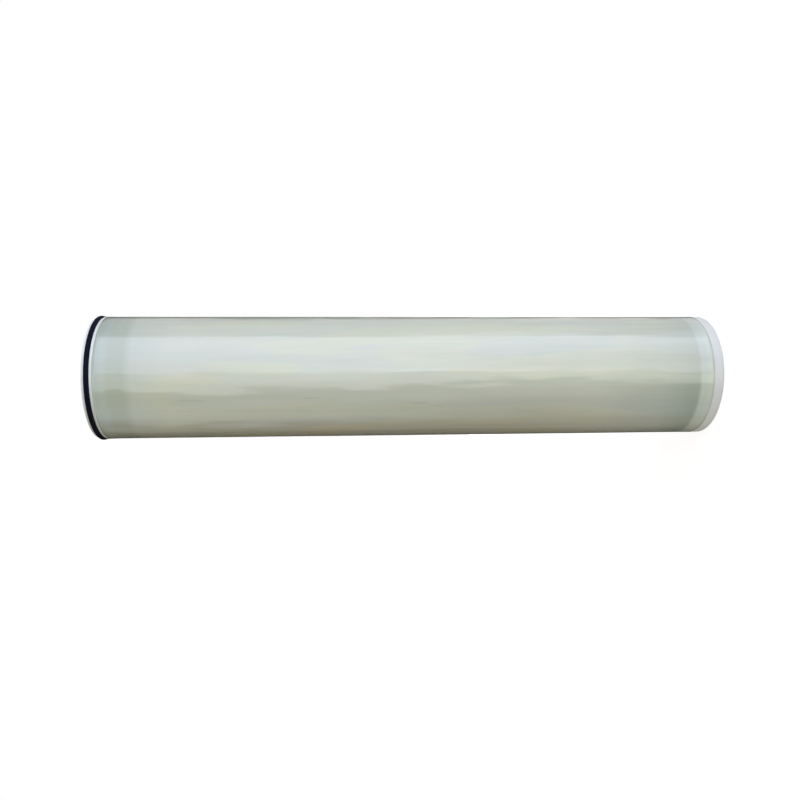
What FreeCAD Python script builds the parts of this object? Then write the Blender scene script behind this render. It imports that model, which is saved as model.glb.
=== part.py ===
import FreeCAD, Part
import math
import os

from FreeCAD import Vector

# Spiral wound reverse osmosis element, 8 inch by 40 inch.
# Millimetres. The element stands on its brine end: its axis is Z, and the origin is the middle of the
# face that it stands on. The feed end, with the seal, is at the top.

# Whole element
ELEMENT_LENGTH = 1016.0
SHELL_RADIUS = 100.5
SHELL_WALL = 2.5
SHELL_EDGE_BEVEL = 0.8

# Permeate tube, with a smooth seat for a coupling in each end
TUBE_RADIUS = 19.05
SEAT_RADIUS = 14.3
SEAT_LENGTH = 60.0
SEAT_LEAD_IN = 1.6
SEAT_STEP_LENGTH = 1.2
MIDDLE_BORE_RADIUS = 13.6
TUBE_HOLE_RADIUS = 1.6
TUBE_HOLE_PITCH = 440.0
TUBE_HOLE_END_GAP = 70.0
TUBE_HOLE_ROWS = 4

# Wound roll: leaves and spacers are wound side by side, and each makes about one turn
CORE_WRAP_THICKNESS = 1.0
LEAF_COUNT = 8
LEAF_THICKNESS = 5.2
SPACER_THICKNESS = 4.5
TAPE_THICKNESS = 0.5
LARGEST_ARC_DEG = 45.0

# End caps, both ends
FLANGE_INSET = 0.3
RING_WALL = 4.2
HUB_WALL = 6.0
HUB_GLUE_GAP = 0.1
HUB_RECESS = 2.5
VANE_RECESS = 7.0
VANE_THICKNESS = 3.6
VANE_NOSE_BEVEL = 0.9
INNER_VANES = 8
OUTER_VANES = 16
MIDDLE_RING_RADIUS = 58.0
MIDDLE_RING_WALL = 3.6
VANE_SINK = 1.0

# Feed end cap, whose outer rim and inner flange hold the seal between them
FEED_RIM_WIDTH = 4.7
FEED_RIM_INSET = 0.9
FEED_RIM_ROUND = 1.0
FEED_FLANGE_WIDTH = 4.0
FEED_SKIRT_LENGTH = 20.5

# Brine end cap, with one plain rim
BRINE_RIM_WIDTH = 16.0
BRINE_RIM_ROUND = 2.4
BRINE_SKIRT_LENGTH = 23.0

# Brine seal, a rubber cup whose lips open towards the feed
SEAL_WIDTH = 7.5
SEAL_SIDE_CLEARANCE = 0.1
SEAL_FLOOR_CLEARANCE = 0.1
SEAL_HEIGHT = 7.1
SEAL_STAND = 0.4
SEAL_LIP_FLARE = 1.3
SEAL_LIP_LENGTH = 5.0
SEAL_INNER_LIP = 1.8
SEAL_OUTER_LIP = 2.4
SEAL_OUTER_TIP = 1.6
SEAL_BAND_WIDTH = 1.0

# Sizes worked out from the ones above
SKIRT_RADIUS = SHELL_RADIUS - SHELL_WALL
ROLL_RADIUS = SKIRT_RADIUS - TAPE_THICKNESS
CORE_RADIUS = TUBE_RADIUS + CORE_WRAP_THICKNESS
FLANGE_RADIUS = SHELL_RADIUS - FLANGE_INSET
FEED_RIM_RADIUS = SHELL_RADIUS - FEED_RIM_INSET
SEAL_BODY_RADIUS = SHELL_RADIUS + SEAL_STAND
SEAL_LIP_RADIUS = SEAL_BODY_RADIUS + SEAL_LIP_FLARE
SEAL_BORE_RADIUS = SEAL_BODY_RADIUS - SEAL_HEIGHT
GROOVE_WIDTH = SEAL_WIDTH + 2.0 * SEAL_SIDE_CLEARANCE
GROOVE_FLOOR_RADIUS = SEAL_BORE_RADIUS - SEAL_FLOOR_CLEARANCE
RING_BORE_RADIUS = GROOVE_FLOOR_RADIUS - RING_WALL
HUB_BORE_RADIUS = TUBE_RADIUS + HUB_GLUE_GAP
HUB_RADIUS = HUB_BORE_RADIUS + HUB_WALL
FEED_HEAD = FEED_RIM_WIDTH + GROOVE_WIDTH + FEED_FLANGE_WIDTH
FEED_CAP_DEPTH = FEED_HEAD + FEED_SKIRT_LENGTH
BRINE_CAP_DEPTH = BRINE_RIM_WIDTH + BRINE_SKIRT_LENGTH
ROLL_BOTTOM = BRINE_CAP_DEPTH
ROLL_TOP = ELEMENT_LENGTH - FEED_CAP_DEPTH
ROLL_LENGTH = ROLL_TOP - ROLL_BOTTOM
LEAF_STEP = 2.0 * math.pi / LEAF_COUNT
LEAF_SHARE = LEAF_THICKNESS / (LEAF_THICKNESS + SPACER_THICKNESS)
GROWTH_PER_RADIAN = (LEAF_THICKNESS + SPACER_THICKNESS) / LEAF_STEP
SPIRAL_ANGLE = (ROLL_RADIUS - CORE_RADIUS) / GROWTH_PER_RADIAN
SPIRAL_ARCS = math.ceil(SPIRAL_ANGLE / math.radians(LARGEST_ARC_DEG))

ORIGIN = Vector(0.0, 0.0, 0.0)
RIGHT = Vector(1.0, 0.0, 0.0)
UP = Vector(0.0, 0.0, 1.0)


def revolved(outline):
    """A ring from its half section, a closed list of (radius, height) corners."""
    corners = [Vector(radius, 0.0, height) for radius, height in outline]
    section = Part.Face(Part.makePolygon(corners + corners[:1]))
    return section.revolve(ORIGIN, UP, 360.0)


def ring_between(inner_radius, outer_radius, bottom, top):
    """A plain ring between two radii and two heights."""
    return revolved([
        (inner_radius, bottom),
        (outer_radius, bottom),
        (outer_radius, top),
        (inner_radius, top),
    ])


def eased_corner(radius, size):
    """The three corners, at height 0, that ease a rim's sharp edge in two bevels."""
    slack = size * (1.0 - math.cos(math.radians(45.0)))
    return [(radius - size, 0.0), (radius - slack, slack), (radius, size)]


def at_feed_end(shape):
    """Turns over a piece made with its outer face at height 0, and sets it on the feed end."""
    turned = shape.copy()
    turned.rotate(ORIGIN, RIGHT, 180.0)
    turned.translate(UP * ELEMENT_LENGTH)
    return turned


# Permeate tube

def bore_end_outline():
    """The bore's corners from a mouth to the middle bore, as (radius, depth)."""
    seat_end = SEAT_LEAD_IN + SEAT_LENGTH
    return [
        (SEAT_RADIUS + SEAT_LEAD_IN, 0.0),
        (SEAT_RADIUS, SEAT_LEAD_IN),
        (SEAT_RADIUS, seat_end),
        (MIDDLE_BORE_RADIUS, seat_end + SEAT_STEP_LENGTH),
    ]


def tube_hole_drills():
    """Rods that drill the rows of holes, alternate rows half a pitch apart."""
    last = ROLL_TOP - TUBE_HOLE_END_GAP
    drills = []
    for row in range(TUBE_HOLE_ROWS):
        height = ROLL_BOTTOM + TUBE_HOLE_END_GAP + (row % 2) * TUBE_HOLE_PITCH / 2.0
        while height <= last:
            drill = Part.makeCylinder(TUBE_HOLE_RADIUS, 2.0 * TUBE_RADIUS, ORIGIN, RIGHT)
            drill.rotate(ORIGIN, UP, 360.0 * row / TUBE_HOLE_ROWS)
            drill.translate(UP * height)
            drills.append(drill)
            height += TUBE_HOLE_PITCH
    return drills


def permeate_tube():
    bore_end = bore_end_outline()
    bore_top = [(radius, ELEMENT_LENGTH - depth) for radius, depth in reversed(bore_end)]
    outside = [(TUBE_RADIUS, ELEMENT_LENGTH), (TUBE_RADIUS, 0.0)]
    tube = revolved(bore_end + bore_top + outside)
    return tube.cut(Part.makeCompound(tube_hole_drills()))


# Wound roll: every sheet lies between two spirals that leave the core wrap at their own angles

def polar_point(radius, angle):
    return Vector(radius * math.cos(angle), radius * math.sin(angle), 0.0)


def arc_through(points):
    return Part.Arc(*points).toShape()


def spiral_arcs(start_angle):
    """A spiral from the core wrap to the roll's outside, as a chain of arcs."""
    arcs = []
    for index in range(SPIRAL_ARCS):
        turns = [SPIRAL_ANGLE * (index + part) / SPIRAL_ARCS for part in (0.0, 0.5, 1.0)]
        arcs.append(arc_through([
            polar_point(CORE_RADIUS + GROWTH_PER_RADIAN * turn, start_angle + turn)
            for turn in turns
        ]))
    return arcs


def wound_sheet(inner_start, outer_start):
    """One sheet between two spirals, as long as the roll."""
    middle = (inner_start + outer_start) / 2.0
    angles = (inner_start, middle, outer_start)
    edges = spiral_arcs(inner_start) + spiral_arcs(outer_start)
    edges.append(arc_through([polar_point(CORE_RADIUS, angle) for angle in angles]))
    edges.append(arc_through([polar_point(ROLL_RADIUS, angle + SPIRAL_ANGLE) for angle in angles]))
    outline = Part.Wire(Part.__sortEdges__(edges))
    sheet = Part.Face(outline).extrude(UP * ROLL_LENGTH)
    sheet.translate(UP * ROLL_BOTTOM)
    return sheet


def membrane_leaf(index):
    start = index * LEAF_STEP
    return wound_sheet(start, start - LEAF_SHARE * LEAF_STEP)


def feed_spacer(index):
    start = index * LEAF_STEP
    return wound_sheet(start - LEAF_SHARE * LEAF_STEP, start - LEAF_STEP)


def core_wrap():
    return ring_between(TUBE_RADIUS, CORE_RADIUS, ROLL_BOTTOM, ROLL_TOP)


def roll_tape():
    return ring_between(ROLL_RADIUS, SKIRT_RADIUS, ROLL_BOTTOM, ROLL_TOP)


# Shell, wound over the taped roll and both skirts

def frp_shell():
    bottom = BRINE_RIM_WIDTH
    top = ELEMENT_LENGTH - FEED_HEAD
    return revolved([
        (SKIRT_RADIUS, bottom),
        (SHELL_RADIUS - SHELL_EDGE_BEVEL, bottom),
        (SHELL_RADIUS, bottom + SHELL_EDGE_BEVEL),
        (SHELL_RADIUS, top - SHELL_EDGE_BEVEL),
        (SHELL_RADIUS - SHELL_EDGE_BEVEL, top),
        (SKIRT_RADIUS, top),
    ])


# End caps, made with their outer face at height 0 and their roll side up

def vane(inner_radius, outer_radius, depth, turn):
    """One vane between two radii, from its bevelled nose to where it bears on the roll."""
    half = VANE_THICKNESS / 2.0
    nose = half - VANE_NOSE_BEVEL
    shoulder = VANE_RECESS + VANE_NOSE_BEVEL
    section = [
        (-half, depth),
        (-half, shoulder),
        (-nose, VANE_RECESS),
        (nose, VANE_RECESS),
        (half, shoulder),
        (half, depth),
    ]
    corners = [Vector(inner_radius, across, height) for across, height in section]
    face = Part.Face(Part.makePolygon(corners + corners[:1]))
    blade = face.extrude(RIGHT * (outer_radius - inner_radius))
    blade.rotate(ORIGIN, UP, turn)
    return blade


def vanes(count, inner_radius, outer_radius, depth):
    """Evenly spaced vanes, sunk a little into the rings that they join."""
    inner = inner_radius - VANE_SINK
    outer = outer_radius + VANE_SINK
    return [vane(inner, outer, depth, 360.0 * index / count) for index in range(count)]


def cap_with_wheel(ring, depth):
    """The cap's outer ring joined to the hub by vanes, which keep the roll from creeping out."""
    middle_ring_bore = MIDDLE_RING_RADIUS - MIDDLE_RING_WALL
    hub = ring_between(HUB_BORE_RADIUS, HUB_RADIUS, HUB_RECESS, depth)
    middle_ring = ring_between(middle_ring_bore, MIDDLE_RING_RADIUS, VANE_RECESS, depth)
    inner_vanes = vanes(INNER_VANES, HUB_RADIUS, middle_ring_bore, depth)
    outer_vanes = vanes(OUTER_VANES, MIDDLE_RING_RADIUS, RING_BORE_RADIUS, depth)
    return ring.fuse([hub, middle_ring] + inner_vanes + outer_vanes).removeSplitter()


def feed_end_cap():
    groove_near = FEED_RIM_WIDTH
    groove_far = groove_near + GROOVE_WIDTH
    ring = revolved(
        [(RING_BORE_RADIUS, 0.0)]
        + eased_corner(FEED_RIM_RADIUS, FEED_RIM_ROUND)
        + [
            (FEED_RIM_RADIUS, groove_near),
            (GROOVE_FLOOR_RADIUS, groove_near),
            (GROOVE_FLOOR_RADIUS, groove_far),
            (FLANGE_RADIUS, groove_far),
            (FLANGE_RADIUS, FEED_HEAD),
            (SKIRT_RADIUS, FEED_HEAD),
            (SKIRT_RADIUS, FEED_CAP_DEPTH),
            (RING_BORE_RADIUS, FEED_CAP_DEPTH),
        ]
    )
    return at_feed_end(cap_with_wheel(ring, FEED_CAP_DEPTH))


def brine_end_cap():
    ring = revolved(
        [(RING_BORE_RADIUS, 0.0)]
        + eased_corner(FLANGE_RADIUS, BRINE_RIM_ROUND)
        + [
            (FLANGE_RADIUS, BRINE_RIM_WIDTH),
            (SKIRT_RADIUS, BRINE_RIM_WIDTH),
            (SKIRT_RADIUS, BRINE_CAP_DEPTH),
            (RING_BORE_RADIUS, BRINE_CAP_DEPTH),
        ]
    )
    return cap_with_wheel(ring, BRINE_CAP_DEPTH)


# Brine seal, made as the feed cap is, with its lips towards height 0

def brine_seal():
    near = FEED_RIM_WIDTH + SEAL_SIDE_CLEARANCE
    far = near + SEAL_WIDTH
    crotch = near + SEAL_LIP_LENGTH
    inner_wall = SEAL_BORE_RADIUS + SEAL_INNER_LIP
    outer_wall = SEAL_BODY_RADIUS - SEAL_OUTER_LIP
    return at_feed_end(revolved([
        (SEAL_BORE_RADIUS, far),
        (SEAL_BODY_RADIUS, far),
        (SEAL_BODY_RADIUS, crotch),
        (SEAL_LIP_RADIUS, near + SEAL_BAND_WIDTH),
        (SEAL_LIP_RADIUS, near),
        (SEAL_LIP_RADIUS - SEAL_OUTER_TIP, near),
        (outer_wall, crotch),
        (inner_wall, crotch),
        (inner_wall, near),
        (SEAL_BORE_RADIUS, near),
    ]))


def pieces():
    """Every piece of the element by its name."""
    made = {
        "frp_shell": frp_shell(),
        "feed_end_cap": feed_end_cap(),
        "brine_end_cap": brine_end_cap(),
        "brine_seal": brine_seal(),
        "permeate_tube": permeate_tube(),
        "core_wrap": core_wrap(),
        "roll_tape": roll_tape(),
    }
    for index in range(LEAF_COUNT):
        made[f"membrane_leaf_{index + 1}"] = membrane_leaf(index)
        made[f"feed_spacer_{index + 1}"] = feed_spacer(index)
    return made


def main():
    os.makedirs("parts", exist_ok=True)
    for name, shape in pieces().items():
        shape.exportStep(f"parts/{name}.step")
        print(name, "solids", len(shape.Solids), "valid", shape.isValid(), "volume", round(shape.Volume))


main()
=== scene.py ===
import math

import bpy
import numpy as np
from mathutils import Matrix, Vector

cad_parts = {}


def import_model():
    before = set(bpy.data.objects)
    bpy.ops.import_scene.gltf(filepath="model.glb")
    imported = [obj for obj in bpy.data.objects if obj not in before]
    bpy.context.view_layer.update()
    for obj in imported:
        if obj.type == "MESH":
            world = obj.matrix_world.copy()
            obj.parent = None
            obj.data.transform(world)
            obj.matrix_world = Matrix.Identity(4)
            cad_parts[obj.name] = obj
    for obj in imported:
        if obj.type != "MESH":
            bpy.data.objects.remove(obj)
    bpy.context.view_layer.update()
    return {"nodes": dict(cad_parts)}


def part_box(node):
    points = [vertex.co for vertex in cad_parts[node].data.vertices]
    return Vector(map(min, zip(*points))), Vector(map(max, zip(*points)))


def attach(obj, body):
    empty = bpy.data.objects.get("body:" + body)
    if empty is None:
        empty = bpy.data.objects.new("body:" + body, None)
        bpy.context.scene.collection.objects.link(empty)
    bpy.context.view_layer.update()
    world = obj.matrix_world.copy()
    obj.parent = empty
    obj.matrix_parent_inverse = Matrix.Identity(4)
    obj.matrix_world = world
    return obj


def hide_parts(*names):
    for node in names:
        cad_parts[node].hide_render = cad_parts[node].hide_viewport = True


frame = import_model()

# Reverse osmosis membrane element. Lengths are metres. Its axis is Z: the brine end stands on the floor at
# height 0, and the feed end, with the seal, is at the top. The camera is turned, so that +X is up in the
# picture. An angle round the element is 0 at the picture's front and 90 degrees at its top.

ROOT = "root"

# Places read from the frame
SHELL_LOW, SHELL_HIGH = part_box("frp_shell")
TAPE_LOW, TAPE_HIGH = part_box("roll_tape")
SHELL_RADIUS = SHELL_HIGH.x
SKIRT_RADIUS = TAPE_HIGH.x
CORE_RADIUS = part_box("core_wrap")[1].x
ROLL_BOTTOM = TAPE_LOW.z
ROLL_TOP = TAPE_HIGH.z
ELEMENT_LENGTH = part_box("permeate_tube")[1].z
MIDDLE = ELEMENT_LENGTH / 2.0

# Shell mesh: bevel at its two edges, and its grid
SHELL_EDGE_BEVEL = 0.0008
SHELL_ROWS = 260
SHELL_COLUMNS = 300

# Relief of the shell: depth below the true radius, the length over which it fades out at each end, and its
# waves, each set by how many go round, how far they lean along the element and how their height swells
RELIEF_DEPTH = 0.0005
RELIEF_FADE = 0.02
RELIEF_SEED = 11
RELIEF_WAVES = (7, 9, 12, 15, 19, 23, 28)
RELIEF_LAYERS = 2
RELIEF_LEAN = 9.0
RELIEF_SWELL = 0.9
RELIEF_SWELL_WAVES = (3.0, 8.0)

# Wound roll at its true pitch
TAPE_THICKNESS = 0.0005
CAD_LEAVES = 8
LEAF_COUNT = 28
LEAF_SHARE = 0.5
ROLL_TURNS = 1.92
STEPS_PER_TURN = 96
SPACER_RECESS = 0.0009
LEAF_EDGE_SPREAD = 0.0004
ROLL_SEED = 5

# Resin of the shell. A tint is a factor for each part of its colour, and a step is the range of a noise
# over which a patch begins.
RESIN = (0.665, 0.69, 0.585)
CLOUD_TINTS = ((1.05, 1.05, 1.07), (0.95, 0.95, 0.93))
CREAM_TINT = (1.06, 1.04, 0.94)
CREAM_STEP = (0.51, 0.58)
CREAM_SHARE = 0.8
STAIN_TINTS = ((0.98, 1.0, 0.985), (1.015, 1.0, 1.0))
STAIN_STEP = (0.42, 0.6)
SHELL_ROUGHNESS = (0.38, 0.5)
COAT_ROUGHNESS = 0.015
RESIN_IOR = 1.5

# Grain of the shell's noises: how many to the metre along each axis
CLOUD_GRAIN = (7.0, 7.0, 2.0)
CREAM_GRAIN = (24.0, 24.0, 4.0)
STAIN_GRAIN = (50.0, 50.0, 10.0)
EDGE_GRAIN = (14.0, 14.0, 2.0)
LONG_STREAK_GRAIN = (60.0, 60.0, 2.5)
FINE_STREAK_GRAIN = (170.0, 170.0, 9.0)
GLOSS_GRAIN = (40.0, 40.0, 6.0)

# Streaks and glass strands: how far each moves the colour's level, and its bump as depth and strength
STREAK_ROUGHNESS = 0.55
LONG_STREAK_SWING = 0.16
FINE_STREAK_SWING = 0.08
LONG_STREAK_BUMP = (0.0006, 1.0)
FINE_STREAK_BUMP = (0.00006, 1.0)
STRAND_SLOPES = (0.35, -0.35)
STRAND_PITCH = 0.0022
STRAND_SWING = 0.006
STRAND_BUMP = (0.00006, 0.3)

# Faint scuffs: angle in degrees, height, half width in degrees, half length
SCUFFS = (
    (-23.0, 0.853, 1.3, 0.028),
    (-21.5, 0.668, 1.2, 0.020),
    (-27.0, 0.497, 1.4, 0.021),
    (-30.0, 0.467, 1.2, 0.016),
)
SCUFF_DEPTH = 0.11
SCUFF_WAVER = 0.05

# Tints of what lies under the resin, and of its edges: the darker bands at the feed edge are painted
# shade, and the lighter band at the brine edge is painted light.
FEED_FADE = (0.91, 0.94, 0.945)
FEED_GLUE = (0.74, 0.79, 0.765)
FEED_SKIRT = (0.77, 0.84, 0.86)
FEED_EDGE_PAINTED_SHADE = (0.70, 0.77, 0.79)
FEED_CORNER_PAINTED_SHADE = (0.60, 0.67, 0.66)
BRINE_FADE_AND_SHADE = (0.79, 0.82, 0.815)
BRINE_GLUE_AND_SHADE = (0.60, 0.66, 0.64)
BRINE_SKIRT = (0.96, 1.0, 1.02)
BRINE_EDGE_PAINTED_LIGHT = (1.10, 1.13, 1.13)

# Bands of those tints: kind of edge, side that shows it, lower and upper limit, half the width of its
# soft edge, tint
PAST_TOP = SHELL_HIGH.z + 0.1
PAST_BOTTOM = SHELL_LOW.z - 0.1
BANDS = (
    ("wavy", "all", ROLL_TOP - 0.06, PAST_TOP, 0.025, FEED_FADE),
    ("wavy", "all", ROLL_TOP - 0.024, PAST_TOP, 0.007, FEED_GLUE),
    # Glue and fade tints at the brine end, partly painted shade where the lower side has them in full
    ("wavy", "lower", PAST_BOTTOM, ROLL_BOTTOM + 0.115, 0.055, BRINE_FADE_AND_SHADE),
    ("wavy", "lower", PAST_BOTTOM, ROLL_BOTTOM + 0.04, 0.024, BRINE_GLUE_AND_SHADE),
    ("straight", "all", ROLL_TOP, PAST_TOP, 0.003, FEED_SKIRT),
    ("straight", "all", PAST_BOTTOM, ROLL_BOTTOM, 0.003, BRINE_SKIRT),
    # Painted shade at the feed edge, darker still on the upper side
    ("straight", "all", SHELL_HIGH.z - 0.006, PAST_TOP, 0.006, FEED_EDGE_PAINTED_SHADE),
    ("straight", "upper", SHELL_HIGH.z - 0.016, PAST_TOP, 0.016, FEED_CORNER_PAINTED_SHADE),
    # Painted light at the brine edge
    ("straight", "all", PAST_BOTTOM, SHELL_LOW.z + 0.008, 0.008, BRINE_EDGE_PAINTED_LIGHT),
)
EDGE_WAVER = 0.012

# Sides of the shell, in degrees round the element: from, to, soft edge. The brine end's glue and fade
# tints are there all round at this least share and full on the lower side, where the extra is painted
# shade. The upper side holds only the painted shade at the feed edge.
LOWER_SIDE = (-130.0, -6.0, 10.0)
UPPER_SHADE_SIDE = (40.0, 110.0, 6.0)
LOWER_SIDE_LEAST = 0.3

# White plastic of the end caps, rubber of the seal, and plastic of the tube
CAP_SHADES = ((0.88, 0.90, 0.86), (0.94, 0.96, 0.92))
CAP_ROUGHNESS = (0.32, 0.5)
CAP_CLOUD_GRAIN = (25.0, 25.0, 25.0)
CAP_FINE_GRAIN = (900.0, 900.0, 900.0)
CAP_BUMP = (0.0001, 0.15)
CAP_EDGE_RADIUS = 0.0007
RUBBER_SHADES = ((0.001, 0.002, 0.007), (0.005, 0.008, 0.018))
RUBBER_ROUGHNESS = (0.42, 0.62)
RUBBER_SPECULAR = 0.05
RUBBER_BLOOM_GRAIN = (60.0, 60.0, 200.0)
RUBBER_FINE_GRAIN = (1500.0, 1500.0, 1500.0)
RUBBER_BUMP = (0.00008, 0.3)
RUBBER_EDGE_RADIUS = 0.0003
EDGE_SAMPLES = 4
TUBE_SHADES = ((0.74, 0.75, 0.76), (0.84, 0.845, 0.85))
TUBE_ROUGHNESS = 0.38
TUBE_LINE_GRAIN = (700.0, 700.0, 4.0)
TUBE_BUMP = (0.0001, 0.4)

# Sheets of the roll: dark and light shade, grain, roughness
SHEETS = {
    "membrane": ((0.62, 0.61, 0.54), (0.80, 0.79, 0.72), (400.0, 400.0, 60.0), 0.6),
    "spacer_net": ((0.18, 0.20, 0.20), (0.45, 0.48, 0.47), (700.0, 700.0, 700.0), 0.45),
    "carrier_cloth": ((0.70, 0.69, 0.63), (0.84, 0.83, 0.78), (900.0, 900.0, 900.0), 0.8),
    "tape": ((0.56, 0.60, 0.52), (0.66, 0.70, 0.62), (80.0, 80.0, 20.0), 0.35),
}
SHEET_BUMP = (0.0004, 0.5)

# Camera, fitted to the photograph's outline. Its lens and sensor are in millimetres.
LENS = 33.75
SENSOR = 36.0
CAMERA_DISTANCE = 1.277
CAMERA_YAW = math.radians(4.36)
CAMERA_ROLL = math.radians(0.47)
CAMERA_TARGET = Vector((-0.0405, 0.0, 0.5211))

# Lamps beside the element: azimuth in degrees, distance, height, width, length, radiance, colour
KEY_LAMP = (42.0, 2.2, MIDDLE - 0.35, 3.2, 3.6, 1.75, (0.915, 0.983, 1.17))
FILL_LAMP = (182.0, 2.4, MIDDLE, 2.4, 3.0, 1.6, (0.96, 1.0, 1.04))
WARM_LAMP = (-100.0, 2.2, MIDDLE, 2.0, 3.0, 0.2, (1.0, 0.85, 0.55))
END_LAMP = (-55.0, 0.35, 0.03, 0.1, 0.06, 5.2, (0.93, 1.0, 1.05))

# Lamp above, and the world's soft light from below and above in the picture
OVERHEAD_SIZE = 6.0
OVERHEAD_HEIGHT = 5.0
OVERHEAD_RADIANCE = 1.0
AMBIENT_BELOW = (0.17, 0.105, 0.035)
AMBIENT_ABOVE = (0.33, 0.34, 0.35)

# Floor: half its side, its colour, and what the camera sees added to it near the element and further away
FLOOR_HALF = 30.0
FLOOR_GRAY = 0.42
FLOOR_ROUGHNESS = 0.9
FLOOR_LIFT_REACH = (0.2, 1.5)
FLOOR_LIFT = (0.73, 0.92)

# Surround that only reflections see. Its bands waver, step from patch to patch, and tilt along the element
# between the two heights of its reach.
SURROUND_RADIUS = 6.0
SURROUND_HEIGHTS = (-40.0, 40.0)
SURROUND_COLUMNS = 96
SURROUND_REACH = (-1.0, 2.4)
SURROUND_WANDER = math.radians(42.0)
SURROUND_WANDER_GRAIN = (2.2, 1.5, 1.0)
SURROUND_STEP = math.radians(13.0)
SURROUND_PATCH_GRAIN = (5.0, 1.6, 1.0)
SURROUND_TILT = math.radians(7.0)

# Level of the surround: its middle and swing, how far it leans along the element between two angles, and
# how far two ranges of angle drop towards the brine end, in degrees as from, to, soft edge
SURROUND_LEVEL = 1.08
SURROUND_SWING = 0.3
SURROUND_LEAN = 0.25
SURROUND_LEAN_ANGLES = (math.radians(-60.0), math.radians(20.0))
SURROUND_DROP = 0.75
SURROUND_DROP_HEIGHTS = (-0.2, -1.2)
MIDDLE_DROP = (4.0, 38.0, 9.0)
LOWER_DROP = (-110.0, -38.0, 8.0)
LOWER_DROP_SHARE = 0.5

# Angle round the element in degrees, and the colour that reflections show there
SURROUND_STOPS = (
    (-160.0, 0.0, 0.0, 0.0), (-130.0, 0.0, 0.0, 0.0), (-105.0, 0.15, 0.15, 0.12), (-85.0, 0.95, 1.1, 1.15),
    (-70.0, 1.2, 1.4, 1.4), (-61.0, 1.35, 1.5, 1.35), (-50.0, 1.1, 1.2, 0.9), (-33.0, 0.8, 0.85, 0.5),
    (-22.0, 0.75, 0.83, 0.45), (-21.0, 2.15, 2.2, 1.7), (-8.0, 2.45, 2.55, 2.2), (5.0, 2.3, 2.4, 2.2),
    (7.0, 1.75, 1.94, 1.9), (17.0, 1.35, 1.55, 1.55), (19.0, 1.55, 1.78, 1.82), (25.0, 1.5, 1.72, 1.76),
    (27.0, 0.85, 0.95, 1.05), (40.0, 0.85, 0.97, 1.23), (55.0, 1.0, 1.17, 1.42), (80.0, 1.2, 1.32, 1.48),
    (82.0, 0.64, 0.7, 0.72), (95.0, 0.58, 0.65, 0.68), (110.0, 0.56, 0.6, 0.65), (130.0, 0.57, 0.5, 0.54),
    (138.0, 0.7, 0.65, 0.65), (150.0, 0.02, 0.02, 0.02))

# Sockets of the Mix node when it mixes colours
MIX_FACTOR = 0
MIX_FIRST = 6
MIX_SECOND = 7
MIX_RESULT = 2


# Node helpers

def new_material(name):
    """A material with its node tree and its shader."""
    material = bpy.data.materials.new(name)
    material.use_nodes = True
    tree = material.node_tree
    return material, tree, tree.nodes["Principled BSDF"]


def plug(tree, socket, value):
    """Links an input to another socket, or sets it to a plain value."""
    if isinstance(value, bpy.types.NodeSocket):
        tree.links.new(value, socket)
    else:
        socket.default_value = value


def add(tree, kind, **inputs):
    """A node of that kind, with values or links for its inputs by name."""
    node = tree.nodes.new(kind)
    for key, value in inputs.items():
        plug(tree, node.inputs[key.replace("_", " ")], value)
    return node


def math_node(tree, operation, *values):
    """The result of one operation on up to three values or sockets."""
    node = tree.nodes.new("ShaderNodeMath")
    node.operation = operation
    for socket, value in zip(node.inputs, values):
        plug(tree, socket, value)
    return node.outputs[0]


def times(tree, first, second):
    """The product of two values."""
    return math_node(tree, "MULTIPLY", first, second)


def map_range(tree, value, source=(0.0, 1.0), target=(0.0, 1.0)):
    """A value carried from one range to another and held inside it."""
    node = add(tree, "ShaderNodeMapRange", Value=value, From_Min=source[0], From_Max=source[1],
               To_Min=target[0], To_Max=target[1])
    return node.outputs[0]


def smooth_step(tree, value, low, high):
    """Rises softly from 0 to 1 between two values."""
    node = add(tree, "ShaderNodeMapRange", Value=value, From_Min=low, From_Max=high)
    node.interpolation_type = "SMOOTHSTEP"
    return node.outputs[0]


def between(tree, value, low, high, soft):
    """1 where the value lies between two limits, fading over a soft edge."""
    rise = map_range(tree, value, (low - soft, low + soft))
    fall = map_range(tree, value, (high - soft, high + soft))
    return times(tree, rise, math_node(tree, "SUBTRACT", 1.0, fall))


def between_degrees(tree, angle, low, high, soft):
    """1 where an angle lies between two limits, fading over a soft edge, all three in degrees."""
    return between(tree, angle, math.radians(low), math.radians(high), math.radians(soft))


def spread(tree, noise, middle, swing):
    """A noise value as a factor that swings about a middle value, without a limit."""
    return math_node(tree, "MULTIPLY_ADD", noise, swing, middle - 0.5 * swing)


def mix_color(tree, factor, first, second, blend="MIX"):
    """Two colours mixed by a factor."""
    node = tree.nodes.new("ShaderNodeMix")
    node.data_type = "RGBA"
    node.blend_type = blend
    plug(tree, node.inputs[MIX_FACTOR], factor)
    plug(tree, node.inputs[MIX_FIRST], first)
    plug(tree, node.inputs[MIX_SECOND], second)
    return node.outputs[MIX_RESULT]


def scale_color(tree, color, level):
    """A colour made lighter or darker by a level."""
    node = tree.nodes.new("ShaderNodeVectorMath")
    node.operation = "SCALE"
    plug(tree, node.inputs[0], color)
    plug(tree, node.inputs["Scale"], level)
    return node.outputs[0]


def object_coords(tree):
    """The object's own coordinates, in metres."""
    return tree.nodes.new("ShaderNodeTexCoord").outputs["Object"]


def parts_of(tree, vector):
    """The three parts of a vector or colour."""
    return add(tree, "ShaderNodeSeparateXYZ", Vector=vector).outputs


def front_angle(tree, x, y):
    """Angle round the element, 0 at the picture's front and growing towards its top."""
    return math_node(tree, "ARCTAN2", x, times(tree, y, -1.0))


def stretched_noise(tree, coords, scale, detail=3.0, roughness=0.5):
    """Noise whose grain is set by a scale along each axis."""
    mapping = add(tree, "ShaderNodeMapping", Vector=coords, Scale=scale)
    noise = add(tree, "ShaderNodeTexNoise", Vector=mapping.outputs[0], Scale=1.0,
                Detail=detail, Roughness=roughness)
    return noise.outputs[0]


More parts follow.
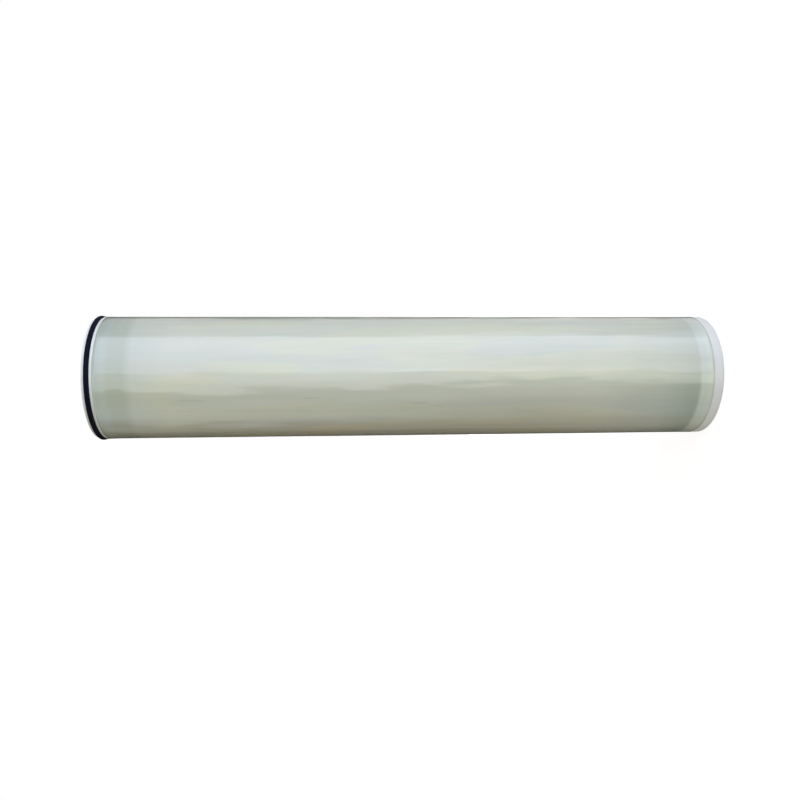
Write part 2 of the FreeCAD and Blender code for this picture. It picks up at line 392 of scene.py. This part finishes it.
def bump(tree, height, distance, strength, normal=None):
    """A normal bent by a height, over another normal where there is one."""
    node = add(tree, "ShaderNodeBump", Height=height, Distance=distance, Strength=strength)
    if normal is not None:
        plug(tree, node.inputs["Normal"], normal)
    return node.outputs[0]


def shade(red, green, blue):
    """An opaque colour."""
    return (red, green, blue, 1.0)


def gray(value):
    """An opaque gray."""
    return shade(value, value, value)


def tinted(color, factors):
    """An opaque colour with each part multiplied by its factor."""
    return shade(*(part * factor for part, factor in zip(color, factors)))


# Fibreglass of the shell

def resin_color(tree, coords, z, angle):
    """The resin with cream patches, what lies under it showing at both ends, and painted shade and light
    near them.
    """
    cloud = stretched_noise(tree, coords, CLOUD_GRAIN, detail=2.0)
    color = mix_color(tree, cloud, tinted(RESIN, CLOUD_TINTS[0]), tinted(RESIN, CLOUD_TINTS[1]))
    cream = stretched_noise(tree, coords, CREAM_GRAIN, detail=2.5, roughness=0.45)
    cream = times(tree, smooth_step(tree, cream, *CREAM_STEP), CREAM_SHARE)
    color = mix_color(tree, cream, color, tinted(RESIN, CREAM_TINT))
    mottle = stretched_noise(tree, coords, STAIN_GRAIN, detail=2.5)
    mottle = smooth_step(tree, mottle, *STAIN_STEP)
    stain = mix_color(tree, mottle, shade(*STAIN_TINTS[0]), shade(*STAIN_TINTS[1]))
    color = mix_color(tree, 1.0, color, stain, blend="MULTIPLY")
    uneven = stretched_noise(tree, coords, EDGE_GRAIN)
    edges = {"wavy": math_node(tree, "MULTIPLY_ADD", uneven, EDGE_WAVER, z), "straight": z}
    # The lower side's full tint at the brine end and the upper side's band at the feed edge are painted
    # shade
    lower = between_degrees(tree, angle, *LOWER_SIDE)
    lower = math_node(tree, "MULTIPLY_ADD", lower, 1.0 - LOWER_SIDE_LEAST, LOWER_SIDE_LEAST)
    sides = {"lower": lower, "upper": between_degrees(tree, angle, *UPPER_SHADE_SIDE)}
    for edge, side, low, high, soft, tint in BANDS:
        cover = between(tree, edges[edge], low, high, soft)
        if side in sides:
            cover = times(tree, sides[side], cover)
        color = mix_color(tree, cover, color, tinted(RESIN, tint))
    return color


def strand_pattern(tree, x, y, z):
    """The glass strands, wound round in two slightly sloping directions."""
    around = times(tree, math_node(tree, "ARCTAN2", y, x), SHELL_RADIUS)
    waves = []
    for slope in STRAND_SLOPES:
        across = math_node(tree, "ADD", z, times(tree, around, slope))
        turns = times(tree, across, 2.0 * math.pi / STRAND_PITCH)
        waves.append(math_node(tree, "SINE", turns))
    return math_node(tree, "ADD", waves[0], waves[1])


def scuff(tree, angle, z, at_angle, at_height, half_width, half_length):
    """1 in the middle of one thin mark along the element, fading to 0 at its rim."""
    off_angle = math_node(tree, "SUBTRACT", angle, math.radians(at_angle))
    off_angle = math_node(tree, "DIVIDE", off_angle, math.radians(half_width))
    off_height = math_node(tree, "SUBTRACT", z, at_height)
    off_height = math_node(tree, "DIVIDE", off_height, half_length)
    square = math_node(tree, "ADD", times(tree, off_angle, off_angle), times(tree, off_height, off_height))
    return math_node(tree, "SUBTRACT", 1.0, smooth_step(tree, square, 0.0, 1.0))


def fibreglass_material():
    """Glossy, slightly green resin over wound glass, with long flow streaks and a few faint scuffs."""
    material, tree, shader = new_material("fibreglass")
    coords = object_coords(tree)
    x, y, z = parts_of(tree, coords)
    angle = front_angle(tree, x, y)
    long_streaks = stretched_noise(tree, coords, LONG_STREAK_GRAIN, roughness=STREAK_ROUGHNESS)
    fine_streaks = stretched_noise(tree, coords, FINE_STREAK_GRAIN, roughness=STREAK_ROUGHNESS)
    strands = strand_pattern(tree, x, y, z)
    level = spread(tree, long_streaks, 1.0, LONG_STREAK_SWING)
    level = times(tree, level, spread(tree, fine_streaks, 1.0, FINE_STREAK_SWING))
    level = times(tree, level, math_node(tree, "MULTIPLY_ADD", strands, STRAND_SWING, 1.0))
    wavering = math_node(tree, "ADD", angle, spread(tree, fine_streaks, 0.0, SCUFF_WAVER))
    for place in SCUFFS:
        mark = scuff(tree, wavering, z, *place)
        level = math_node(tree, "MULTIPLY_ADD", mark, -SCUFF_DEPTH, level)
    color = scale_color(tree, resin_color(tree, coords, z, angle), level)
    plug(tree, shader.inputs["Base Color"], color)
    gloss = stretched_noise(tree, coords, GLOSS_GRAIN)
    plug(tree, shader.inputs["Roughness"], map_range(tree, gloss, target=SHELL_ROUGHNESS))
    plug(tree, shader.inputs["Normal"], bump(tree, strands, *STRAND_BUMP))
    flow = bump(tree, long_streaks, *LONG_STREAK_BUMP)
    plug(tree, shader.inputs["Coat Normal"], bump(tree, fine_streaks, *FINE_STREAK_BUMP, normal=flow))
    shader.inputs["Coat Weight"].default_value = 1.0
    shader.inputs["Coat Roughness"].default_value = COAT_ROUGHNESS
    shader.inputs["IOR"].default_value = RESIN_IOR
    return material


# Other materials

def set_shades(tree, shader, noise, shades):
    """The shader's colour, moved between two shades by a noise."""
    plug(tree, shader.inputs["Base Color"], mix_color(tree, noise, shade(*shades[0]), shade(*shades[1])))


def set_moulded_surface(tree, shader, coords, grain, depth_and_strength, edge_radius):
    """A fine moulded grain, over edges that look slightly rounded."""
    noise = stretched_noise(tree, coords, grain, detail=2.0)
    edges = add(tree, "ShaderNodeBevel", Radius=edge_radius)
    edges.samples = EDGE_SAMPLES
    normal = bump(tree, noise, *depth_and_strength, normal=edges.outputs[0])
    plug(tree, shader.inputs["Normal"], normal)


def cap_material():
    """White moulded plastic with softened edges and faint grime."""
    material, tree, shader = new_material("cap_plastic")
    coords = object_coords(tree)
    cloud = stretched_noise(tree, coords, CAP_CLOUD_GRAIN, detail=4.0)
    set_shades(tree, shader, cloud, CAP_SHADES)
    plug(tree, shader.inputs["Roughness"], map_range(tree, cloud, target=CAP_ROUGHNESS))
    set_moulded_surface(tree, shader, coords, CAP_FINE_GRAIN, CAP_BUMP, CAP_EDGE_RADIUS)
    return material


def rubber_material():
    """Near-black moulded rubber with a faint bloom."""
    material, tree, shader = new_material("seal_rubber")
    coords = object_coords(tree)
    bloom = stretched_noise(tree, coords, RUBBER_BLOOM_GRAIN, detail=5.0, roughness=0.65)
    set_shades(tree, shader, bloom, RUBBER_SHADES)
    plug(tree, shader.inputs["Roughness"], map_range(tree, bloom, target=RUBBER_ROUGHNESS))
    shader.inputs["Specular IOR Level"].default_value = RUBBER_SPECULAR
    set_moulded_surface(tree, shader, coords, RUBBER_FINE_GRAIN, RUBBER_BUMP, RUBBER_EDGE_RADIUS)
    return material


def tube_material():
    """Drawn white plastic with faint lines along the tube."""
    material, tree, shader = new_material("tube_plastic")
    lines = stretched_noise(tree, object_coords(tree), TUBE_LINE_GRAIN)
    set_shades(tree, shader, lines, TUBE_SHADES)
    shader.inputs["Roughness"].default_value = TUBE_ROUGHNESS
    plug(tree, shader.inputs["Normal"], bump(tree, lines, *TUBE_BUMP))
    return material


def sheet_material(name):
    """The cut edges and faces of one of the roll's sheets."""
    dark, light, grain, roughness = SHEETS[name]
    material, tree, shader = new_material(name)
    noise = stretched_noise(tree, object_coords(tree), grain, detail=4.0, roughness=0.6)
    set_shades(tree, shader, noise, (dark, light))
    shader.inputs["Roughness"].default_value = roughness
    plug(tree, shader.inputs["Normal"], bump(tree, noise, *SHEET_BUMP))
    return material


def give(obj, material):
    """Makes this the object's only material."""
    obj.data.materials.clear()
    obj.data.materials.append(material)


# Mesh helpers

def add_to_scene(obj):
    """Puts a new object into the scene."""
    bpy.context.scene.collection.objects.link(obj)


def mesh_object(name, points, faces, smooth):
    """A mesh object in the row frame, from points and faces."""
    mesh = bpy.data.meshes.new(name)
    mesh.from_pydata(points, [], faces)
    mesh.update()
    mesh.polygons.foreach_set("use_smooth", [smooth] * len(mesh.polygons))
    obj = bpy.data.objects.new(name, mesh)
    add_to_scene(obj)
    return obj


def ring_grid(radii, heights, columns):
    """Points on rings: one ring for each height, at that ring's radius for each column."""
    angles = np.linspace(0.0, 2.0 * math.pi, columns, endpoint=False)
    radii = np.asarray(radii)
    points = np.empty((len(heights), columns, 3))
    points[:, :, 0] = radii * np.cos(angles)
    points[:, :, 1] = radii * np.sin(angles)
    points[:, :, 2] = np.asarray(heights)[:, None]
    return points.reshape(-1, 3).tolist()


def ring_faces(rows, columns, closed):
    """Faces between neighbouring rings and, where the form is closed, between the last and the first."""
    faces = []
    for row in range(rows if closed else rows - 1):
        below = row * columns
        above = ((row + 1) % rows) * columns
        for column in range(columns):
            right = (column + 1) % columns
            faces.append((below + column, below + right, above + right, above + column))
    return faces


# Shell

def shell_relief(heights, columns):
    """How far the hand-finished resin lies below the true radius, from 0 to 1 over the whole grid."""
    angles = np.linspace(0.0, 2.0 * math.pi, columns, endpoint=False)
    random = np.random.default_rng(RELIEF_SEED)
    relief = np.zeros((len(heights), columns))
    z = np.asarray(heights)[:, None]
    for count in RELIEF_WAVES:
        for _ in range(RELIEF_LAYERS):
            lean = random.uniform(-RELIEF_LEAN, RELIEF_LEAN)
            start = random.uniform(0.0, 2.0 * math.pi)
            swell = random.uniform(*RELIEF_SWELL_WAVES)
            phase = random.uniform(0.0, 2.0 * math.pi)
            wave = np.sin(count * angles[None, :] + lean * z + start)
            relief += wave * (1.0 + RELIEF_SWELL * np.sin(swell * z * 2.0 * math.pi + phase)) / count
    relief -= relief.min()
    return relief / relief.max()


def shell_piece(material):
    """The shell as one closed form: its uneven outside, bevelled edges and plain inside."""
    bottom = SHELL_LOW.z
    top = SHELL_HIGH.z
    columns = SHELL_COLUMNS
    outer = np.linspace(bottom + SHELL_EDGE_BEVEL, top - SHELL_EDGE_BEVEL, SHELL_ROWS)
    relief = shell_relief(outer, columns)
    fade = np.clip(np.minimum(outer - bottom, top - outer) / RELIEF_FADE, 0.0, 1.0)[:, None]
    outer_radii = SHELL_RADIUS - RELIEF_DEPTH * relief * fade
    edge = np.full((1, columns), SHELL_RADIUS - SHELL_EDGE_BEVEL)
    inner = np.full((1, columns), SKIRT_RADIUS)
    radii = np.concatenate([inner, edge, outer_radii, edge, inner])
    heights = np.concatenate([[bottom, bottom], outer, [top, top]])
    points = ring_grid(radii, heights, columns)
    shell = mesh_object("shell_wrap", points, ring_faces(len(heights), columns, True), True)
    give(shell, material)
    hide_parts("frp_shell")
    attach(shell, ROOT)


# Wound roll

def spiral_rows(start_angle, roll_radius):
    """Points of one spiral from the core wrap to the roll's outside, in the flat."""
    steps = int(ROLL_TURNS * STEPS_PER_TURN)
    turned = np.linspace(0.0, ROLL_TURNS * 2.0 * math.pi, steps)
    radii = np.linspace(CORE_RADIUS, roll_radius, steps)
    return np.stack([radii * np.cos(start_angle + turned), radii * np.sin(start_angle + turned)], axis=1)


def wound_strip(inner, outer, bottom, top, first):
    """Points and faces of one closed strip between two spirals."""
    count = len(inner)
    to_top = 2 * count
    flat = np.concatenate([inner, outer])
    low = np.column_stack([flat, np.full(to_top, bottom)])
    high = np.column_stack([flat, np.full(to_top, top)])
    faces = []
    for step in range(count - 1):
        inside = first + step
        next_inside = inside + 1
        outside = inside + count
        next_outside = next_inside + count
        faces.append((inside, outside, next_outside, next_inside))
        faces.append((inside + to_top, next_inside + to_top, next_outside + to_top, outside + to_top))
        faces.append((inside, next_inside, next_inside + to_top, inside + to_top))
        faces.append((next_outside, outside, outside + to_top, next_outside + to_top))
    for step in (0, count - 1):
        inside = first + step
        outside = inside + count
        end_face = (inside, inside + to_top, outside + to_top, outside)
        faces.append(end_face if step == 0 else end_face[::-1])
    return np.concatenate([low, high]), faces


def wound_piece(name, share_start, share_end, recess, slot, nodes):
    """All the sheets of one kind, each between two of the roll's spirals."""
    random = np.random.default_rng(ROLL_SEED)
    roll_radius = SKIRT_RADIUS - TAPE_THICKNESS
    step = 2.0 * math.pi / LEAF_COUNT
    points = []
    faces = []
    total = 0
    for index in range(LEAF_COUNT):
        inner = spiral_rows((index - share_start) * step, roll_radius)
        outer = spiral_rows((index - share_end) * step, roll_radius)
        bottom = ROLL_BOTTOM + recess + random.uniform(0.0, LEAF_EDGE_SPREAD)
        top = ROLL_TOP - recess - random.uniform(0.0, LEAF_EDGE_SPREAD)
        strip_points, strip_faces = wound_strip(inner, outer, bottom, top, total)
        points.append(strip_points)
        faces += strip_faces
        total += len(strip_points)
    piece = mesh_object(name, np.concatenate(points).tolist(), faces, False)
    give(piece, sheet_material(slot))
    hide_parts(*nodes)
    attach(piece, ROOT)


def roll_pieces():
    """The leaves, and the spacers that fill the rest of each step between them."""
    numbers = range(1, CAD_LEAVES + 1)
    wound_piece("membrane_leaves", 0.0, LEAF_SHARE, 0.0, "membrane",
                [f"membrane_leaf_{number}" for number in numbers])
    wound_piece("feed_spacers", LEAF_SHARE, 1.0, SPACER_RECESS, "spacer_net",
                [f"feed_spacer_{number}" for number in numbers])


def build():
    """Materials for the CAD nodes that stay, and the pieces that replace the others."""
    nodes = frame["nodes"]
    cap = cap_material()
    give(nodes["feed_end_cap"], cap)
    give(nodes["brine_end_cap"], cap)
    give(nodes["brine_seal"], rubber_material())
    give(nodes["permeate_tube"], tube_material())
    give(nodes["core_wrap"], sheet_material("carrier_cloth"))
    give(nodes["roll_tape"], sheet_material("tape"))
    shell_piece(fibreglass_material())
    roll_pieces()


# Studio

def camera():
    """The camera in front of the element, with +X up in the picture apart from a slight roll."""
    forward = Vector((0.0, math.cos(CAMERA_YAW), -math.sin(CAMERA_YAW)))
    plain_up = Vector((1.0, 0.0, 0.0))
    plain_right = forward.cross(plain_up)
    up = plain_up * math.cos(CAMERA_ROLL) + plain_right * math.sin(CAMERA_ROLL)
    right = forward.cross(up)
    data = bpy.data.cameras.new("camera")
    data.lens = LENS
    data.sensor_width = SENSOR
    obj = bpy.data.objects.new("camera", data)
    turn = Matrix((right, up, -forward)).transposed().to_4x4()
    obj.matrix_world = Matrix.Translation(CAMERA_TARGET - forward * CAMERA_DISTANCE) @ turn
    add_to_scene(obj)
    bpy.context.scene.camera = obj


def panel_light(name, azimuth, distance, height, width, length, radiance, color):
    """A soft panel beside the element, facing it. Azimuth 0 is in front and 90 to the picture's top."""
    data = bpy.data.lights.new(name, "AREA")
    data.shape = "RECTANGLE"
    data.size = width
    data.size_y = length
    data.energy = radiance * math.pi * width * length
    data.color = color
    obj = bpy.data.objects.new(name, data)
    turn = math.radians(azimuth)
    axis = Vector((0.0, 0.0, 1.0))
    away = Vector((math.sin(turn), -math.cos(turn), 0.0))
    turned = Matrix((axis.cross(away), axis, away)).transposed().to_4x4()
    obj.matrix_world = Matrix.Translation(axis * height + away * distance) @ turned
    add_to_scene(obj)
    return obj


def overhead_light():
    """A wide soft panel above, facing down, for the end face and the floor."""
    data = bpy.data.lights.new("overhead", "AREA")
    data.shape = "SQUARE"
    data.size = OVERHEAD_SIZE
    data.energy = OVERHEAD_RADIANCE * math.pi * OVERHEAD_SIZE ** 2
    obj = bpy.data.objects.new("overhead", data)
    obj.location = (0.0, 0.0, OVERHEAD_HEIGHT)
    obj.visible_camera = False
    add_to_scene(obj)


def world():
    """White to the camera and in reflections, and plain soft light on the object."""
    scene_world = bpy.data.worlds.new("world")
    bpy.context.scene.world = scene_world
    scene_world.use_nodes = True
    tree = scene_world.node_tree
    tree.nodes.clear()
    path = tree.nodes.new("ShaderNodeLightPath")
    seen = math_node(tree, "MAXIMUM", path.outputs["Is Camera Ray"], path.outputs["Is Glossy Ray"])
    seen = math_node(tree, "MAXIMUM", seen, path.outputs["Is Transmission Ray"])
    direction = tree.nodes.new("ShaderNodeTexCoord").outputs["Generated"]
    upward = map_range(tree, parts_of(tree, direction)[0], (-1.0, 1.0))
    ambient = mix_color(tree, upward, shade(*AMBIENT_BELOW), shade(*AMBIENT_ABOVE))
    color = mix_color(tree, seen, ambient, gray(1.0))
    background = add(tree, "ShaderNodeBackground", Color=color, Strength=1.0)
    output = tree.nodes.new("ShaderNodeOutputWorld")
    plug(tree, output.inputs["Surface"], background.outputs[0])


def floor():
    """A pale floor that looks white round the object and keeps its shadow."""
    corners = [(-FLOOR_HALF, -FLOOR_HALF, 0.0), (FLOOR_HALF, -FLOOR_HALF, 0.0),
               (FLOOR_HALF, FLOOR_HALF, 0.0), (-FLOOR_HALF, FLOOR_HALF, 0.0)]
    obj = mesh_object("floor", corners, [(0, 1, 2, 3)], False)
    material, tree, shader = new_material("floor")
    shader.inputs["Base Color"].default_value = gray(FLOOR_GRAY)
    shader.inputs["Roughness"].default_value = FLOOR_ROUGHNESS
    shader.inputs["Specular IOR Level"].default_value = 0.0
    away = tree.nodes.new("ShaderNodeVectorMath")
    away.operation = "LENGTH"
    plug(tree, away.inputs[0], object_coords(tree))
    lift = map_range(tree, away.outputs["Value"], FLOOR_LIFT_REACH, FLOOR_LIFT)
    path = tree.nodes.new("ShaderNodeLightPath")
    lift = times(tree, path.outputs["Is Camera Ray"], lift)
    glow = add(tree, "ShaderNodeEmission", Color=gray(1.0), Strength=lift)
    total = tree.nodes.new("ShaderNodeAddShader")
    plug(tree, total.inputs[0], shader.outputs[0])
    plug(tree, total.inputs[1], glow.outputs[0])
    plug(tree, tree.nodes["Material Output"].inputs["Surface"], total.outputs[0])
    give(obj, material)
    obj.visible_glossy = False


def surround_glow(tree):
    """The surround's bands of colour, uneven at their edges and in level."""
    x, y, z = parts_of(tree, object_coords(tree))
    angle = front_angle(tree, x, y)
    spot = add(tree, "ShaderNodeCombineXYZ", X=angle, Y=z).outputs[0]
    wander = stretched_noise(tree, spot, SURROUND_WANDER_GRAIN)
    cells = add(tree, "ShaderNodeMapping", Vector=spot, Scale=SURROUND_PATCH_GRAIN).outputs[0]
    cells = add(tree, "ShaderNodeTexVoronoi", Vector=cells, Scale=1.0).outputs["Color"]
    angle_step, level_step, _ = parts_of(tree, cells)
    along = map_range(tree, z, SURROUND_REACH, (-1.0, 1.0))
    lean = map_range(tree, angle, SURROUND_LEAN_ANGLES, (SURROUND_LEAN, -SURROUND_LEAN))
    drop = math_node(tree, "MULTIPLY_ADD", between_degrees(tree, angle, *LOWER_DROP), LOWER_DROP_SHARE,
                     between_degrees(tree, angle, *MIDDLE_DROP))
    drop = times(tree, map_range(tree, z, SURROUND_DROP_HEIGHTS), drop)
    level = spread(tree, level_step, SURROUND_LEVEL, SURROUND_SWING)
    level = math_node(tree, "MULTIPLY_ADD", along, lean, level)
    level = math_node(tree, "MULTIPLY_ADD", drop, -SURROUND_DROP, level)
    angle = math_node(tree, "ADD", angle, spread(tree, wander, 0.0, SURROUND_WANDER))
    angle = math_node(tree, "ADD", angle, spread(tree, angle_step, 0.0, SURROUND_STEP))
    angle = math_node(tree, "MULTIPLY_ADD", along, SURROUND_TILT, angle)
    ramp = tree.nodes.new("ShaderNodeValToRGB")
    stops = ramp.color_ramp.elements
    stops[1].color = gray(0.0)
    for degrees, *color in SURROUND_STOPS:
        stops.new((degrees + 180.0) / 360.0).color = shade(*color)
    plug(tree, ramp.inputs[0], map_range(tree, angle, (-math.pi, math.pi)))
    return add(tree, "ShaderNodeEmission", Color=ramp.outputs[0], Strength=level).outputs[0]


def surround():
    """A wide round card that only reflections see, with the soft bands that the shell shows."""
    radii = np.full((len(SURROUND_HEIGHTS), SURROUND_COLUMNS), SURROUND_RADIUS)
    points = ring_grid(radii, SURROUND_HEIGHTS, SURROUND_COLUMNS)
    faces = ring_faces(len(SURROUND_HEIGHTS), SURROUND_COLUMNS, False)
    obj = mesh_object("surround", points, faces, False)
    material, tree, shader = new_material("surround")
    plug(tree, tree.nodes["Material Output"].inputs["Surface"], surround_glow(tree))
    tree.nodes.remove(shader)
    give(obj, material)
    obj.visible_camera = False
    obj.visible_diffuse = False
    obj.visible_shadow = False
    obj.visible_transmission = False


def studio():
    """The lamps, the world, the floor and the surround."""
    panel_light("key", *KEY_LAMP)
    fill = panel_light("fill", *FILL_LAMP)
    fill.visible_glossy = False
    panel_light("warm", *WARM_LAMP)
    end = panel_light("end", *END_LAMP)
    end.visible_camera = False
    end.visible_glossy = False
    overhead_light()
    world()
    floor()
    surround()


build()
camera()
studio()
bpy.context.scene.view_settings.view_transform = "Standard"
